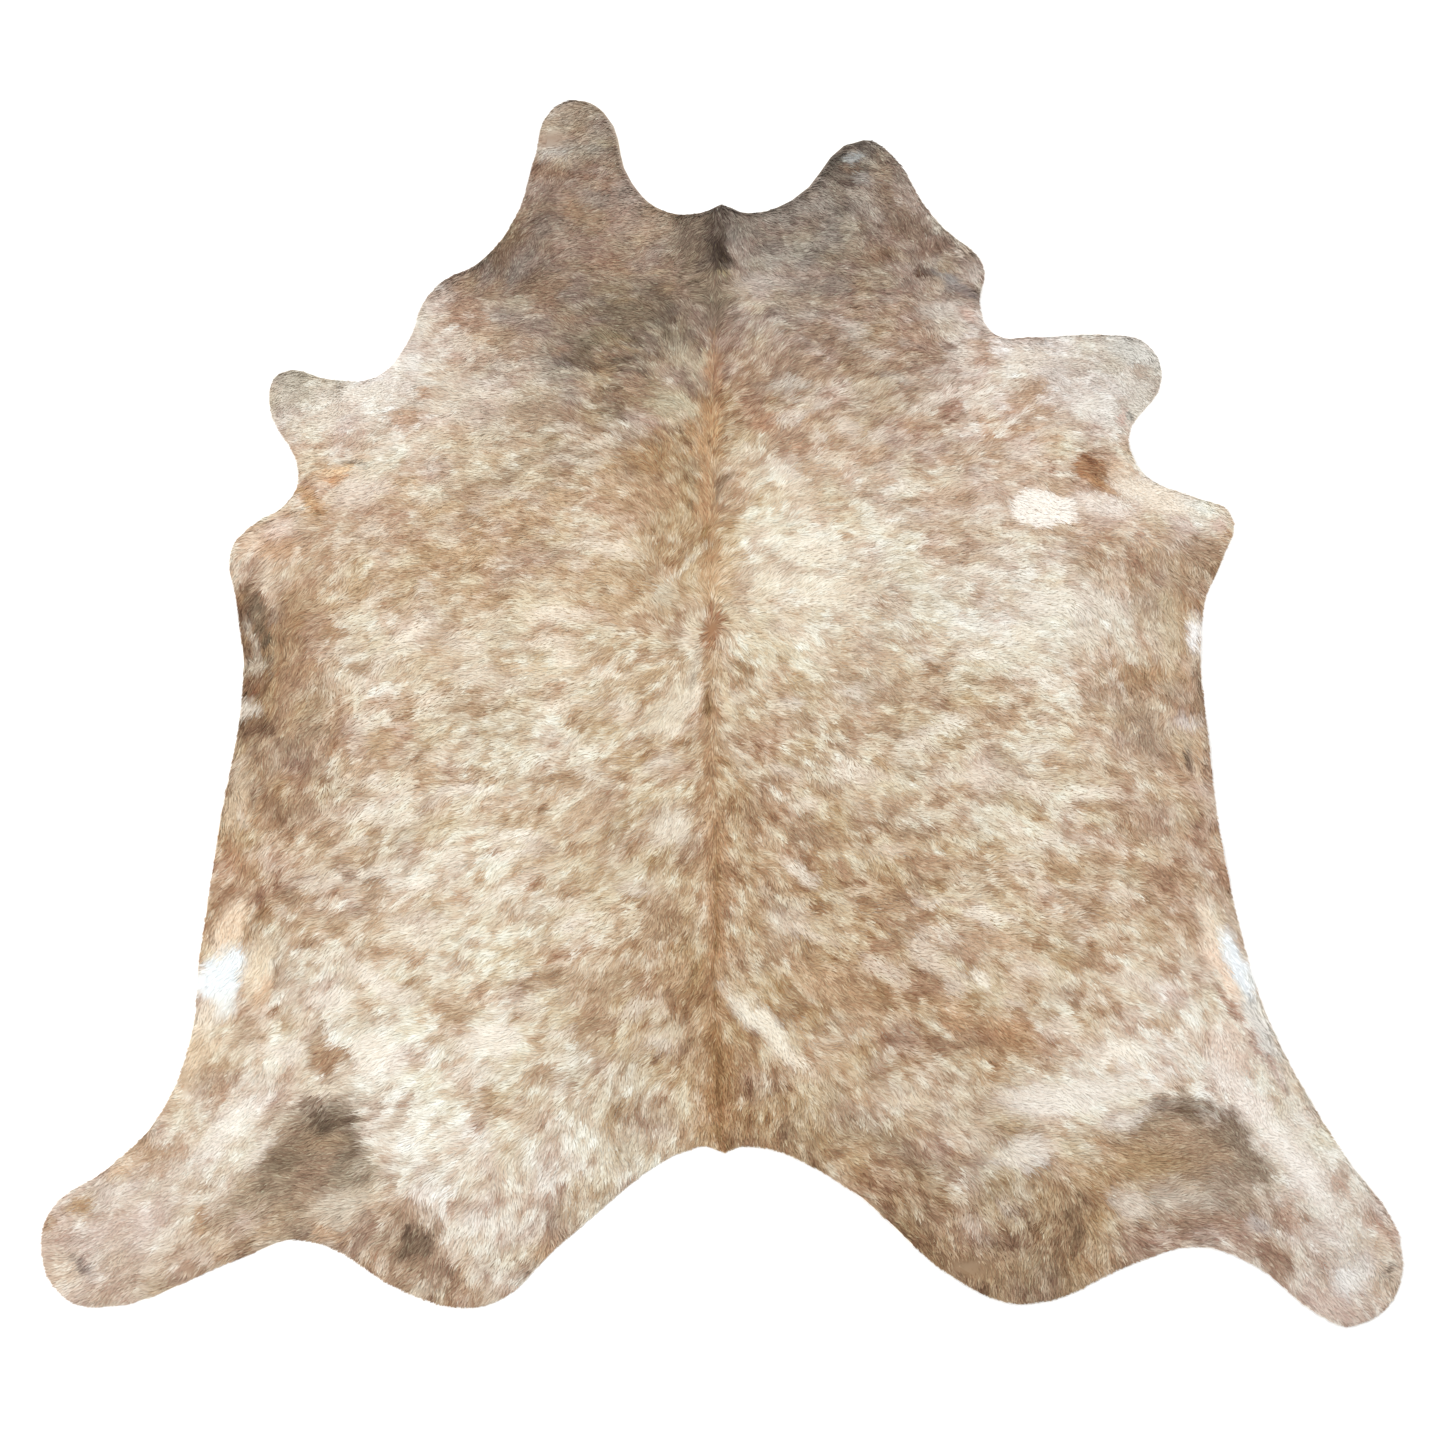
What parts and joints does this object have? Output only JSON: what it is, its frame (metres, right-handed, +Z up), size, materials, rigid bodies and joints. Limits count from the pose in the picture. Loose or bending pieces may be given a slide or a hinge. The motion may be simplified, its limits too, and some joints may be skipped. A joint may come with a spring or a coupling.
{
  "type": "cowhide rug",
  "caption": "Whole hair-on cowhide rug laid flat, with neck lobes, foreleg and hind-leg shanks and a notched tail end; light cream and tan brindled coat.",
  "frame": {"origin": "centre of the hide's overall box, on the surface that it lies on", "axes": "+Y towards the neck, +X towards the hide's right as seen from above with the neck away from the viewer, +Z up out of the coat"},
  "size_m": [1.951, 2.2311, 0.015],
  "materials": {
    "hide": "matte",
    "coat": "satin"
  },
  "bodies": {
    "root": {"cowhide": "hide"}
  },
  "joints": []
}
